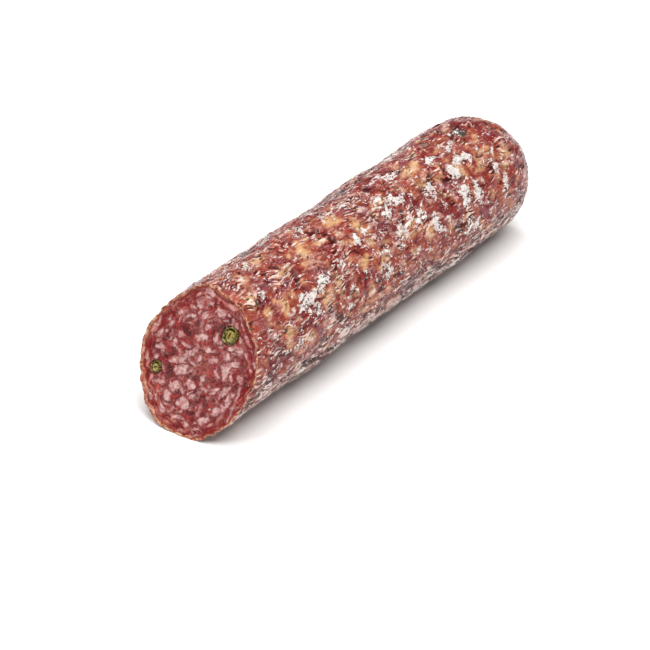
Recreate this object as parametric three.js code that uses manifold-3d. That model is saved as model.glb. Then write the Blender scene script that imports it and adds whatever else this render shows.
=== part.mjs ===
// A cured sausage: a dry-cured log in its thin casing, cut on the slant at the front so that the
// marbled meat and two halved green peppercorns show, and closed by its own rounded end at the back.
// Millimetres, +Z up. The log lies along Y with the cut at -Y. It rests on a narrow flat underneath,
// where its own weight has pressed it, and the origin is the middle of its footprint.

import * as THREE from 'three';
import { mergeVertices } from 'three/addons/utils/BufferGeometryUtils.js';
import Module from 'manifold-3d';

// Driving dimensions
const DIAMETER = 45;
const STRAIGHT_LENGTH = 153;
const END_DEPTH = 22;
const END_FULLNESS = 0.48;
const CUT_LEAN = THREE.MathUtils.degToRad(27);
const CUT_TURN = THREE.MathUtils.degToRad(2.8);
const FLAT_HALF_ANGLE = THREE.MathUtils.degToRad(12);

// Waves of the skin: long swells, and shorter lumps of mince under the casing
const SWELLS = { height: 0.2, rounds: [1, 2, 3], lengths: [150, 71, 43] };
const LUMPS = { height: 0.13, rounds: [5, 8, 11], lengths: [29, 17, 12] };
const PRESSED_FROM = FLAT_HALF_ANGLE;
const PRESSED_TO = THREE.MathUtils.degToRad(38);

// Bumps of the skin: angle in degrees from +X towards +Z, along from mid-length, reach round and along.
// Three are whole peppercorns under the casing, two are swellings, and six are lobes at the cut.
const BUMPS = [
  { angle: 84.6, along: 70.7, height: 1.0, round: 2.4, reach: 2.4 },
  { angle: 158, along: 22, height: 0.8, round: 2.2, reach: 2.2 },
  { angle: 196, along: -41, height: 0.8, round: 2.1, reach: 2.1 },
  { angle: 97, along: 66, height: 0.8, round: 13, reach: 12 },
  { angle: -36, along: -42, height: 0.6, round: 11, reach: 24 },
  { angle: 11, along: -78, height: 1.0, round: 5.5, reach: 16 },
  { angle: 62, along: -68, height: 0.5, round: 3.2, reach: 12 },
  { angle: 101, along: -65, height: 1.1, round: 6.0, reach: 14 },
  { angle: 178, along: -77, height: 0.9, round: 8.0, reach: 16 },
  { angle: 240, along: -87, height: 1.0, round: 5.0, reach: 14 },
  { angle: 290, along: -87, height: 1.0, round: 5.0, reach: 14 },
];
const CUT_SHRINK = 0.5;
const CUT_SHRINK_REACH = 22;

// Closed end: pleats run in to a small pucker where the casing was gathered
const PLEAT_COUNT = 13;
const PLEAT_DEPTH = 0.7;
const PLEAT_INNER = 8;
const PLEAT_OUTER = 19;
const PUCKER_DEPTH = 1.8;
const PUCKER_RADIUS = 3.6;

// Cut face: the casing stands a little proud as a lip, and the meat has dried slightly hollow
const LIP_WIDTH = 0.9;
const LIP_HEIGHT = 0.35;
const FACE_HOLLOW = 0.5;
const GRAIN_HEIGHT = 0.12;
const GRAIN_LENGTH = 9;
const GRAIN_FROM = 0.35;

// Halved peppercorns in the cut face: across and up are measured from the log's axis
const FACE_CORNS = [
  { across: 9.0, up: 10.9, radius: 3.0 },
  { across: -15.2, up: -5.5, radius: 2.1 },
];
const CORN_SEGMENTS = 12;
const CORN_PROUD = 0.45;
const CORN_DISH = 0.25;
const CORN_GAP = 0.3;
const SOCKET_DEPTH = 1.1;
const SOCKET_TOP = 1.5;

// Mesh density
const SEGMENTS = 64;
const FACE_RINGS = 11;
const SIDE_RINGS = 48;
const END_RINGS = 18;

const RADIUS = DIAMETER / 2;
const AXIS_HEIGHT = RADIUS * Math.cos(FLAT_HALF_ANGLE);
const CUT_SLOPE_UP = Math.tan(CUT_LEAN);
const CUT_SLOPE_ACROSS = Math.tan(CUT_TURN);
const CUT_NORMAL = new THREE.Vector3(CUT_SLOPE_ACROSS, -1, CUT_SLOPE_UP).normalize();
const FULL_TURN = 2 * Math.PI;
const GOLDEN = 0.618034;

const smooth = (from, to, value) => THREE.MathUtils.smoothstep(value, from, to);

// Sums lumps that repeat round and along the log; each takes its phases from the golden ratio.
function waves(angle, along, { height, rounds, lengths }) {
  let sum = 0;
  rounds.forEach((round, i) => {
    lengths.forEach((length, j) => {
      const phase = FULL_TURN * GOLDEN * (1 + i * lengths.length + j);
      sum += Math.sin(round * angle + phase) * Math.sin(FULL_TURN * along / length + 2 * phase);
    });
  });
  return 2 * height * sum / Math.sqrt(rounds.length * lengths.length);
}

// How far an angle is from straight down, in radians.
function fromBottom(angle) {
  const turn = THREE.MathUtils.euclideanModulo(angle + Math.PI / 2, FULL_TURN);
  return Math.min(turn, FULL_TURN - turn);
}

function bumpHeight(bump, angle, along) {
  const turn = angle - THREE.MathUtils.degToRad(bump.angle);
  const round = RADIUS * Math.atan2(Math.sin(turn), Math.cos(turn)) / bump.round;
  const far = (along - bump.along) / bump.reach;
  return bump.height * Math.exp(-(round * round + far * far));
}

// Radius of the skin before the end narrows; its waves fade where the log is pressed flat.
function skinRadius(angle, along) {
  const free = smooth(PRESSED_FROM, PRESSED_TO, fromBottom(angle));
  const relief = free * (waves(angle, along, SWELLS) + waves(angle, along, LUMPS));
  const bumps = BUMPS.reduce((sum, bump) => sum + bumpHeight(bump, angle, along), 0);
  const toCut = (along + STRAIGHT_LENGTH / 2) / CUT_SHRINK_REACH;
  return RADIUS + relief + bumps - CUT_SHRINK * Math.exp(-toCut * toCut);
}

// Where along the log the slanted cut lies at a point of the section.
function cutAlong(across, up) {
  return -STRAIGHT_LENGTH / 2 + across * CUT_SLOPE_ACROSS + up * CUT_SLOPE_UP;
}

// A point of the log, with the part below the resting flat pressed up to it.
function place(across, along, up) {
  return new THREE.Vector3(across, along, Math.max(up + AXIS_HEIGHT, 0));
}

// A point on the cut edge of the casing, found in a few passes as the skin's radius varies.
function rimPoint(angle) {
  let radius = RADIUS;
  let along = 0;
  for (let pass = 0; pass < 3; pass += 1) {
    along = cutAlong(radius * Math.cos(angle), radius * Math.sin(angle));
    radius = skinRadius(angle, along);
  }
  return { radius, along };
}

// Height of the cut face over its plane at a share of the way from its middle to its rim.
function faceHeight(share, angle, radius) {
  const inLip = smooth(1 - LIP_WIDTH / radius, 1 - LIP_WIDTH / radius / 3, share);
  const across = share * radius * Math.cos(angle) * FULL_TURN / GRAIN_LENGTH;
  const up = share * radius * Math.sin(angle) * FULL_TURN / GRAIN_LENGTH;
  const grain = Math.sin(across + Math.sin(up)) * Math.sin(up + Math.sin(across));
  const meat = GRAIN_HEIGHT * grain * smooth(0, GRAIN_FROM, share) - FACE_HOLLOW * (1 - share ** 4);
  return inLip * LIP_HEIGHT + (1 - inLip) * meat;
}

function facePoint(share, angle) {
  const { radius } = rimPoint(angle);
  const across = share * radius * Math.cos(angle);
  const up = Math.max(share * radius * Math.sin(angle), -AXIS_HEIGHT);
  const point = place(across, cutAlong(across, up), up);
  return point.addScaledVector(CUT_NORMAL, faceHeight(share, angle, radius));
}

function sidePoint(share, angle) {
  const rim = rimPoint(angle);
  const along = THREE.MathUtils.lerp(rim.along, STRAIGHT_LENGTH / 2, share);
  const radius = skinRadius(angle, along);
  return place(radius * Math.cos(angle), along, radius * Math.sin(angle));
}

// The rounded end: a full dome whose pleats deepen towards the pucker at its tip.
function endPoint(share, angle) {
  const narrowing = Math.cos(share * Math.PI / 2);
  const depth = END_DEPTH * Math.sqrt(1 - narrowing ** (2 / END_FULLNESS));
  const along = STRAIGHT_LENGTH / 2 + depth;
  const radius = skinRadius(angle, along) * narrowing;
  const gathered = (1 - smooth(PLEAT_INNER, PLEAT_OUTER, radius)) * smooth(0, PUCKER_RADIUS, radius);
  const pleat = PLEAT_DEPTH * gathered * (Math.abs(Math.sin(PLEAT_COUNT * angle / 2)) - 0.5);
  const pucker = PUCKER_DEPTH * Math.exp(-((radius / PUCKER_RADIUS) ** 2));
  return place(radius * Math.cos(angle), along + pleat - pucker, radius * Math.sin(angle));
}

// Rings of points from the middle of the cut, over the skin, to the tip of the closed end.
function logRings() {
  const rings = [];
  const angles = Array.from({ length: SEGMENTS }, (_, i) => FULL_TURN * i / SEGMENTS - Math.PI / 2);
  const addRing = (pointAt, share) => rings.push(angles.map((angle) => pointAt(share, angle)));
  const meatShare = 1 - LIP_WIDTH / RADIUS;
  for (let i = 1; i <= FACE_RINGS; i += 1) {
    addRing(facePoint, meatShare * i / FACE_RINGS);
  }
  addRing(facePoint, 1);
  for (let i = 1; i <= SIDE_RINGS; i += 1) {
    addRing(sidePoint, i / SIDE_RINGS);
  }
  for (let i = 1; i < END_RINGS; i += 1) {
    addRing(endPoint, i / END_RINGS);
  }
  return rings;
}

// Closes the rings into one body, with a pole at each end.
function closedBody(rings, firstPole, lastPole) {
  const positions = [firstPole, ...rings.flat(), lastPole].flatMap((p) => [p.x, p.y, p.z]);
  const index = [];
  const at = (ring, i) => 1 + ring * SEGMENTS + (i % SEGMENTS);
  const last = 1 + rings.length * SEGMENTS;
  for (let i = 0; i < SEGMENTS; i += 1) {
    index.push(0, at(0, i), at(0, i + 1));
    index.push(last, at(rings.length - 1, i + 1), at(rings.length - 1, i));
    for (let ring = 0; ring + 1 < rings.length; ring += 1) {
      index.push(at(ring, i), at(ring + 1, i), at(ring + 1, i + 1));
      index.push(at(ring, i), at(ring + 1, i + 1), at(ring, i + 1));
    }
  }
  const geometry = new THREE.BufferGeometry();
  geometry.setAttribute('position', new THREE.Float32BufferAttribute(positions, 3));
  geometry.setIndex(index);
  return geometry;
}

// A peppercorn sliced by the knife: half a ball whose flat top has a rim and a shallow dish.
function halvedCorn(radius) {
  const profile = [];
  const steps = CORN_SEGMENTS / 2;
  for (let i = 0; i <= steps; i += 1) {
    const turn = (i / steps) * Math.PI / 2;
    profile.push(new THREE.Vector2(radius * Math.sin(turn), -radius * Math.cos(turn)));
  }
  profile.push(new THREE.Vector2(radius * 0.93, CORN_PROUD * 0.8));
  profile.push(new THREE.Vector2(radius * 0.7, CORN_PROUD));
  profile.push(new THREE.Vector2(radius * 0.45, CORN_PROUD - CORN_DISH));
  profile.push(new THREE.Vector2(0, CORN_PROUD - CORN_DISH));
  return new THREE.LatheGeometry(profile, CORN_SEGMENTS);
}

// The shallow hollow that a halved peppercorn sits in.
function socket(radius) {
  const profile = [
    new THREE.Vector2(0, -SOCKET_DEPTH),
    new THREE.Vector2(radius * 0.9, -SOCKET_DEPTH),
    new THREE.Vector2(radius + CORN_GAP, -SOCKET_DEPTH * 0.4),
    new THREE.Vector2(radius + CORN_GAP, SOCKET_TOP),
    new THREE.Vector2(0, SOCKET_TOP),
  ];
  return new THREE.LatheGeometry(profile, CORN_SEGMENTS);
}

// Stands a lathed shape, whose axis is Y, on the meat of the cut face.
function standOnFace(geometry, corn) {
  const upright = new THREE.Quaternion().setFromUnitVectors(new THREE.Vector3(0, 1, 0), CUT_NORMAL);
  geometry.applyQuaternion(upright);
  const share = Math.hypot(corn.across, corn.up) / RADIUS;
  const foot = new THREE.Vector3(corn.across, cutAlong(corn.across, corn.up), corn.up + AXIS_HEIGHT);
  foot.addScaledVector(CUT_NORMAL, -FACE_HOLLOW * (1 - share ** 4));
  geometry.translate(foot.x, foot.y, foot.z);
  return geometry;
}

function solidOf(wasm, geometry) {
  const bare = geometry.clone();
  bare.deleteAttribute('normal');
  bare.deleteAttribute('uv');
  const merged = mergeVertices(bare, 1e-4);
  const mesh = new wasm.Mesh({
    numProp: 3,
    vertProperties: new Float32Array(merged.attributes.position.array),
    triVerts: new Uint32Array(merged.index.array),
  });
  return new wasm.Manifold(mesh);
}

function geometryOf(solid) {
  const mesh = solid.getMesh();
  const geometry = new THREE.BufferGeometry();
  geometry.setAttribute('position', new THREE.BufferAttribute(new Float32Array(mesh.vertProperties), 3));
  geometry.setIndex(new THREE.BufferAttribute(new Uint32Array(mesh.triVerts), 1));
  return geometry;
}

// The whole log as one solid, with its halved peppercorns fused in.
function sausageGeometry(wasm) {
  let body = solidOf(wasm, closedBody(logRings(), facePoint(0, 0), endPoint(1, 0)));
  for (const corn of FACE_CORNS) {
    const hollow = solidOf(wasm, standOnFace(socket(corn.radius), corn));
    const half = solidOf(wasm, standOnFace(halvedCorn(corn.radius), corn));
    body = body.subtract(hollow).add(half);
  }
  return geometryOf(body);
}

const wasm = await Module();
wasm.setup();

const sausage = new THREE.Mesh(
  sausageGeometry(wasm),
  new THREE.MeshStandardMaterial({ color: 0x9a4a3e, roughness: 0.45, metalness: 0 }),
);
sausage.name = 'sausage';

// Puts the origin at the middle of the footprint, on the surface that the log rests on.
sausage.geometry.computeBoundingBox();
const middle = sausage.geometry.boundingBox.getCenter(new THREE.Vector3());
sausage.position.set(-middle.x, -middle.y, 0);

const group = new THREE.Group();
group.add(sausage);

export default group;
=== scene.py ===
"""Looks of a cured sausage: casing, cut meat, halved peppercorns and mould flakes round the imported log.

Sizes are millimetres in the log's own frame: X across, Y along from the middle of the straight length,
Z up from the log's axis. They become metres in the frame's coordinates when a piece is made.
"""

import functools
import itertools
import math

import bpy
import numpy as np
from mathutils import Matrix, Vector, kdtree


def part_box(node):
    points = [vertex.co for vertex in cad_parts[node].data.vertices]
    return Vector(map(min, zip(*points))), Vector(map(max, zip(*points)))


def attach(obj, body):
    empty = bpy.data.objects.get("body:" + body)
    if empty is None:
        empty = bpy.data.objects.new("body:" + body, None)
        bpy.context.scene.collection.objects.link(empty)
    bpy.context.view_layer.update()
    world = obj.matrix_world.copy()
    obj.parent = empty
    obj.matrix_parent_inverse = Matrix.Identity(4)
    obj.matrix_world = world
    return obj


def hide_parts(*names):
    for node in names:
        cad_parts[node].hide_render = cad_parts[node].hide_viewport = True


MM = 0.001
FULL_TURN = 2 * math.pi
GOLDEN = 0.618034
DOWN = -math.pi / 2

# Form of the log, as in the CAD part
RADIUS = 22.5
STRAIGHT_LENGTH = 153
END_DEPTH = 22
END_FULLNESS = 0.48
CUT_LEAN = math.radians(27)
CUT_TURN = math.radians(2.8)
FLAT_HALF_ANGLE = math.radians(12)
PRESSED_TO = math.radians(38)
SWELLS = {"height": 0.2, "rounds": (1, 2, 3), "lengths": (150, 71, 43)}
LUMPS = {"height": 0.13, "rounds": (5, 8, 11), "lengths": (29, 17, 12)}

# Bumps of the skin: angle in degrees from +X towards +Z, along, height, reach round, reach along
CORN_BUMPS = (
    (84.6, 70.7, 1.0, 2.4, 2.4),
    (158, 22, 0.8, 2.2, 2.2),
    (196, -41, 0.8, 2.1, 2.1),
)
SWELLINGS = (
    (97, 66, 0.8, 13, 12),
    (-36, -42, 0.6, 11, 24),
    (11, -78, 1.0, 5.5, 16),
    (62, -68, 0.5, 3.2, 12),
    (101, -65, 1.1, 6.0, 14),
    (178, -77, 0.9, 8.0, 16),
    (240, -87, 1.0, 5.0, 14),
    (290, -87, 1.0, 5.0, 14),
)

# Waves of the cut's rim: angle in degrees, height, reach round
RIM_DENTS = (
    (240, -0.7, 1.6),
    (226, 0.4, 2.0),
    (256, 0.4, 2.0),
    (200, -0.3, 1.4),
    (310, -0.4, 1.8),
    (35, -0.3, 1.6),
)

# Cut and closed end
CUT_SHRINK = 0.5
CUT_SHRINK_REACH = 22
PLEAT_COUNT = 13
PLEAT_DEPTH = 0.7
PLEAT_INNER = 8
PLEAT_OUTER = 19
PUCKER_DEPTH = 1.8
PUCKER_RADIUS = 3.6
FACE_HOLLOW = 0.5
LIP_HEIGHT = 0.35
LIP_THICKNESS = 0.55
CAD_SEGMENTS = 64
CAD_RINGS = 48

AXIS_HEIGHT = RADIUS * math.cos(FLAT_HALF_ANGLE)
CUT_NORMAL = np.array((math.tan(CUT_TURN), -1, math.tan(CUT_LEAN)))
CUT_NORMAL /= np.linalg.norm(CUT_NORMAL)

# Camera, fitted to the outline in the photograph
IMAGE_SIZE = 650
SENSOR = 36
LENS = 150.86
AZIMUTH = math.radians(36.835)
ELEVATION = math.radians(32)
DISTANCE = 944.2
LOOK_RIGHT = -4.096
LOOK_UP = -19.98

BACK = np.array((
    math.sin(AZIMUTH) * math.cos(ELEVATION),
    -math.cos(AZIMUTH) * math.cos(ELEVATION),
    math.sin(ELEVATION),
))
RIGHT = np.array((math.cos(AZIMUTH), math.sin(AZIMUTH), 0))
UP = np.cross(BACK, RIGHT)
CAMERA_PLACE = RIGHT * LOOK_RIGHT + UP * LOOK_UP + BACK * DISTANCE
FOCAL = LENS / SENSOR * IMAGE_SIZE

# Fat grains of the cut face: pixel x, pixel y, half length, half width, tilt in degrees
FACE_GRAINS = (
    (209, 294, 5.6, 5.0, 20),
    (200, 304, 5.0, 3.6, 80),
    (206, 315, 4.4, 3.4, 80),
    (220, 313, 4.2, 4.0, 0),
    (191, 300, 4.0, 2.8, 60),
    (182, 312, 4.6, 2.2, 40),
    (160, 332, 3.8, 3.4, 60),
    (201, 338, 7.0, 4.2, -15),
    (184, 345, 5.4, 2.8, -40),
    (174, 342, 3.6, 3.0, 20),
    (209, 350, 6.2, 3.4, -15),
    (161, 347, 4.8, 2.8, 75),
    (180, 369, 5.6, 4.8, 10),
    (174, 386, 5.6, 5.0, 30),
    (190, 385, 4.8, 4.0, 70),
    (202, 381, 5.2, 3.2, 65),
    (214, 362, 5.4, 3.4, 10),
    (225, 372, 9.5, 3.6, 80),
    (232, 364, 5.2, 3.2, 30),
    (246, 357, 6.8, 2.0, -70),
    (160, 380, 5.0, 3.4, 0),
    (152, 382, 3.2, 2.4, 60),
    (167, 395, 4.8, 3.4, -30),
    (182, 402, 5.6, 4.8, 30),
    (161, 408, 5.0, 2.4, -75),
    (175, 417, 6.8, 3.0, -10),
    (194, 430, 5.4, 2.6, -10),
    (199, 412, 6.2, 3.0, 75),
    (203, 423, 5.6, 4.2, 60),
    (214, 411, 4.8, 3.4, 60),
    (221, 411, 5.4, 3.0, 75),
    (227, 402, 8.2, 2.6, 70),
    (233, 396, 4.2, 2.0, 65),
    (240, 380, 3.4, 2.4, 50),
    (245, 339, 7.4, 2.2, -65),
    (237, 326, 3.8, 3.0, -40),
    (232, 310, 5.6, 3.2, -35),
    (243, 319, 3.4, 2.2, -45),
    (252, 372, 3.8, 2.0, -80),
    (197, 361, 3.0, 2.4, 40),
    (217, 340, 6.2, 3.0, 80),
    (233, 349, 4.0, 3.0, 10),
    (240, 351, 5.0, 3.4, 60),
    (226, 356, 4.6, 2.8, 75),
    (221, 344, 3.6, 2.6, 30),
    (190, 318, 4.6, 2.2, 30),
    (172, 322, 4.2, 1.8, 50),
    (156, 358, 2.8, 2.2, 80),
    (150, 395, 3.0, 1.8, -70),
    (212, 392, 4.6, 2.8, 20),
    (192, 398, 4.0, 2.2, -20),
    (184, 424, 4.2, 2.2, -15),
    (209, 328, 4.4, 2.4, 20),
)

# Darker places of the cut face: pixel x, pixel y, reach in pixels
# Near the peppercorns these darker places stand partly for painted shade round them, elsewhere for darker
# meat
FACE_DARKS = (
    (232, 318, 10),
    (222, 332, 8),
    (158, 350, 11),
    (243, 390, 10),
    (196, 396, 8),
    (168, 372, 7),
    (222, 386, 8),
)

# Cross-section of the casing's turned edge, inside first: shares of its width and of its height
LIP_PROFILE = ((1.05, -1.2), (1.0, 0.5), (0.75, 1.15), (0.25, 1.25), (0.0, 1.0))

# Halved peppercorns: across, up, radius, and the turns of their slits
CORN_NAMES = ("peppercorn_right", "peppercorn_left")
FACE_CORNS = (
    (9.0, 10.9, 3.0),
    (-15.2, -5.5, 2.1),
)
CORN_SLITS = (1.35, 0.6)

# Noise of the casing's long wrinkles
STROKE = {"size": 1.2, "detail": 1, "rough": 0.4, "stretch": 3.4, "distort": 0.3, "shift": 11}

# Fat that shows through the casing: pixel x, pixel y, half length and half width in mm, turn
SKIN_FAT = (
    (330, 221, 5.0, 3.0, 0),
    (303, 252, 4.2, 2.8, 70),
    (282, 272, 3.6, 2.4, 0),
    (357, 226, 4.6, 2.2, 60),
    (258, 258, 4.0, 2.6, 0),
    (318, 243, 4.4, 1.8, 10),
    (339, 284, 4.0, 2.2, 90),
    (328, 300, 3.6, 2.0, 60),
    (365, 262, 3.2, 2.2, 30),
    (285, 306, 3.0, 2.4, 30),
    (290, 336, 3.6, 2.4, 60),
    (382, 200, 4.4, 2.6, 0),
    (410, 172, 5.0, 2.8, 0),
    (425, 185, 3.6, 2.6, 60),
    (462, 172, 4.0, 2.2, 80),
    (478, 160, 3.4, 2.2, 60),
    (507, 152, 3.2, 2.6, 40),
    (250, 300, 5.0, 2.4, 40),
    (245, 330, 4.0, 2.0, 60),
    (372, 290, 3.0, 2.0, 60),
    (404, 232, 3.4, 2.4, 20),
    (430, 232, 3.0, 2.2, 70),
)

# Main mould patches: pixel x, pixel y, half length and half width in mm, turn, strength
SKIN_MOULD = (
    (322, 283, 6.0, 2.4, 20, 1.0),
    (308, 300, 6.5, 3.6, 15, 1.3),
    (318, 312, 4.0, 2.0, 60, 0.9),
    (357, 240, 3.2, 1.8, 80, 1.2),
    (386, 210, 4.0, 3.0, 60, 1.1),
    (388, 272, 4.2, 2.4, 30, 1.0),
    (340, 265, 3.4, 1.6, 0, 0.9),
    (262, 294, 3.0, 1.6, 70, 0.9),
    (393, 175, 5.0, 2.2, 0, 1.0),
    (372, 182, 5.5, 1.8, 0, 0.9),
    (400, 200, 6.0, 2.6, 0, 1.0),
    (430, 190, 4.5, 3.0, 30, 1.0),
    (452, 172, 5.0, 3.2, 60, 1.5),
    (458, 160, 4.5, 2.2, 10, 1.4),
    (470, 158, 3.0, 2.0, 30, 1.2),
    (448, 148, 3.6, 1.6, 30, 0.9),
    (466, 195, 6.0, 2.6, 70, 1.1),
    (420, 214, 5.0, 2.6, 30, 1.1),
    (436, 222, 4.0, 2.0, 80, 1.1),
    (402, 238, 4.0, 2.2, 40, 0.8),
    (478, 192, 5.0, 3.0, 60, 1.0),
    (495, 165, 3.5, 2.4, 60, 0.9),
    (505, 185, 4.5, 2.5, 60, 0.8),
    (470, 225, 7.0, 3.0, 0, 0.9),
    (350, 308, 4.0, 1.6, 20, 0.8),
    (300, 345, 4.0, 1.6, 10, 0.7),
    (430, 160, 6.0, 1.8, 0, 0.9),
)
SPECK_PIXEL = (366, 279.5)

# Sides of the skin, as angles in degrees from +X towards +Z
CAMERA_SIDE = 46
MOULD_SIDE = 58
FAR_SIDE = 136
FAR_REACH = 34

# Where the low side's bloom, partly painted sheen, and its pleats begin and end, as angles in degrees from
# the bottom
LOW_BLOOM = (40, 100)
LOW_PLEATS = (62, 92)

# Mesh density
CASING_COLUMNS = 304
CASING_ROWS = 250
CASING_END_ROWS = 46
INNER_ROWS = 8
INNER_END_ROWS = 8
FACE_STEPS = 192
MEAT_ROWS = 22
MEAT_END_ROWS = 8
CORN_COLUMNS = 56
CORN_RINGS = 26
CORN_BACK_RINGS = 9

# Fit of the pieces: the meat's gap to the casing and its reach under the lip, and a peppercorn's depth
CASING_THICKNESS = 1.3
MEAT_GAP = 0.3
MEAT_UNDER_LIP = 0.12
CORN_SINK = 0.42

# Grains of meat and flakes of mould
SKIN_GRAINS = 7200
SKIN_FAT_SHARE = 0.20
CREASE_CELLS = 1100
RIDGE_CELLS = 1800
FOLD_STRETCH = 0.34
FACE_MIDDLE_GRAINS = 300
FACE_RING_GRAINS = 760
FACE_FAT_SHARE = 0.46
FACE_RING_RADIUS = 20
FACE_RING_SQUEEZE = 1.8
LAYER_SQUEEZE = 3.6
FLAKES = 6500
FLAKE_CORNERS = 7
FLAKE_LENGTH = (0.22, 0.67)
FLAKE_TOP = (0.07, 0.18)
FLAKE_ROOT = 0.15

# Places along the log between which the grains of the skin are scattered
SEED_ENDS = (-95, 102)

# How much more light than a white surface gives back at full exposure the studio's lights throw
FULL_LIGHT = 1.22
MOULD_WHITE = (0.86, 0.84, 0.81)

# Lights: azimuth and elevation in degrees, size in metres, power in watts, colour
LIGHTS = {
    "key": (90, 80, 1.25, 23.0, (1.0, 0.99, 0.98)),
    "back": (-115, 30, 0.2, 4, (1, 1, 1)),
    "front": (-30, 32, 0.16, 2, (1, 1, 1)),
    "side": (64, 18, 0.12, 1.5, (1, 1, 1)),
}
LIGHT_DISTANCE = 1.2
SURROUND_LIGHT = 0.17
FLOOR_HALF = 3.0

# Colours from 0 to 255, as they look where the studio's light falls full on them
PALETTE = {
    "dark lean": (106, 28, 34),
    "lean": (160, 62, 50),
    "brick": (154, 50, 40),
    "maroon": (114, 30, 42),
    "deep red": (90, 26, 32),
    "pink": (204, 130, 112),
    "amber": (184, 94, 60),
    "lilac": (146, 88, 96),
    "tan fat": (206, 144, 96),
    "cream fat": (244, 208, 158),
    "veiled fat": (176, 84, 68),
    "old gold": (208, 142, 92),
    "gold": (244, 206, 154),
    # Grey-lilac bloom: partly mould, partly painted sheen on the low side and the side seen at a slant
    "bloom_and_sheen": (124, 84, 86),
    # Painted highlight and painted shade for the strokes of the low side's pleats
    "pleat highlight": (250, 232, 226),
    "pleat shade": (36, 10, 12),
    "orange": (190, 86, 56),
    # Painted shade for the crevices between grains of the skin
    "crevice_shade": (76, 22, 26),
    # Painted shade for the folds' creases and painted highlight for their ridges
    "crease": (52, 10, 12),
    "ridge": (226, 170, 156),
    # Painted shade for the hollows of wrinkles, painted glints for their crests, and painted shade beside
    # fine glints
    "hollow": (58, 12, 16),
    "painted glint": (252, 224, 210),
    "fine wrinkle shade": (60, 14, 16),
    "veiled corn": (82, 72, 64),
    "speck": (26, 22, 18),
    "edge brown": (160, 84, 62),
    "edge tan": (236, 192, 160),
    "edge red": (170, 66, 52),
    "rust": (160, 54, 38),
    # Partly the edge's own paler rust, partly painted highlight along the edge
    "pale rust and highlight": (236, 184, 148),
    "mould gap": (56, 16, 18),
    "mould grey": (224, 210, 204),
    "mould cream": (236, 222, 216),
    "mould shade": (206, 184, 176),
    "dark meat": (92, 6, 18),
    "meat": (194, 46, 44),
    "dull salmon": (178, 88, 74),
    "salmon": (212, 146, 130),
    "meat pit": (50, 2, 14),
    "meat pink": (208, 128, 118),
    "meat shade": (70, 6, 22),
    "meat ring": (152, 20, 18),
    "meat fat": (192, 116, 114),
    "white fat": (242, 206, 202),
    "veiled meat fat": (172, 72, 66),
    # Painted shade for the grooves between grains of the cut face
    "meat seam": (92, 18, 32),
    "dark layer": (136, 8, 16),
    "pale layer": (222, 128, 108),
    "fibre": (216, 162, 150),
    "meat edge": (160, 84, 56),
    "dark hull": (62, 52, 16),
    "hull": (158, 146, 66),
    "dark seed": (140, 122, 44),
    "seed": (206, 186, 96),
    "corn brown": (56, 40, 14),
    # Painted glints on the peppercorns, and painted shade in their gaps and slits
    "corn glint highlight": (240, 226, 164),
    "corn gap shade": (40, 30, 10),
}

SEED = 11
LATTICE_SIZE = 32
LATTICE = np.random.default_rng(SEED).uniform(-1, 1, (LATTICE_SIZE,) * 3)


def smooth(low, high, value):
    """Zero below low, one above high, and a soft step between them."""
    share = np.clip((value - low) / (high - low), 0, 1)
    return share * share * (3 - 2 * share)


def noise(points, size, shift=0.0):
    """Smooth noise from -1 to 1 with features of about the given size in mm."""
    spots = points / size + shift
    base = np.floor(spots).astype(int)
    part = spots - base
    part = part * part * (3 - 2 * part)
    total = np.zeros(len(points))
    for corner in itertools.product((0, 1), repeat=3):
        index = (base + corner) % LATTICE_SIZE
        weight = np.prod(np.where(corner, part, 1 - part), axis=1)
        total += weight * LATTICE[index[:, 0], index[:, 1], index[:, 2]]
    return total


def warp(points, size, reach, shift=0.0):
    """Points moved about by noise, so that outlines drawn on them come out uneven."""
    moves = [noise(points, size, shift + axis * 7.3) for axis in range(3)]
    return points + reach * np.stack(moves, axis=1)


def waves(angle, along, height, rounds, lengths):
    """Lumps that repeat round and along the log, as in the CAD part."""
    total = 0
    for i, round_count in enumerate(rounds):
        for j, length in enumerate(lengths):
            phase = FULL_TURN * GOLDEN * (1 + i * len(lengths) + j)
            around_log = np.sin(round_count * angle + phase)
            total = total + around_log * np.sin(FULL_TURN * along / length + 2 * phase)
    return 2 * height * total / math.sqrt(len(rounds) * len(lengths))


def from_bottom(angle):
    turn = np.mod(angle - DOWN, FULL_TURN)
    return np.minimum(turn, FULL_TURN - turn)


def round_distance(angle, degrees):
    """Distance round the skin from an angle given in degrees."""
    turn = angle - math.radians(degrees)
    return RADIUS * np.arctan2(np.sin(turn), np.cos(turn))


def bump(angle, along, spec):
    degrees, middle, height, reach_round, reach_along = spec
    x = round_distance(angle, degrees) / reach_round
    y = (along - middle) / reach_along
    return height * np.exp(-(x * x + y * y))


def skin_radius(angle, along):
    """Radius of the skin before the end narrows, as in the CAD part."""
    free = smooth(FLAT_HALF_ANGLE, PRESSED_TO, from_bottom(angle))
    relief = free * (waves(angle, along, **SWELLS) + waves(angle, along, **LUMPS))
    bumps = sum(bump(angle, along, spec) for spec in CORN_BUMPS + SWELLINGS)
    to_cut = (along + STRAIGHT_LENGTH / 2) / CUT_SHRINK_REACH
    return RADIUS + relief + bumps - CUT_SHRINK * np.exp(-to_cut * to_cut)


def cut_along(across, up):
    return -STRAIGHT_LENGTH / 2 + across * math.tan(CUT_TURN) + up * math.tan(CUT_LEAN)


def rim(angle):
    """Radius and place along the log of the casing's cut edge."""
    radius = np.full_like(angle, RADIUS)
    for _ in range(3):
        along = cut_along(radius * np.cos(angle), radius * np.sin(angle))
        radius = skin_radius(angle, along)
    return radius, along


def place(across, along, up):
    """Points of the log, with what would lie below the resting flat pressed up to it."""
    return np.stack((across, along, np.maximum(up, -AXIS_HEIGHT)), axis=-1)


def around(radius, angle, along):
    """Points at some radius and angle round the log's axis."""
    return np.stack((radius * np.cos(angle), along + 0 * angle, radius * np.sin(angle)), axis=1)


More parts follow.
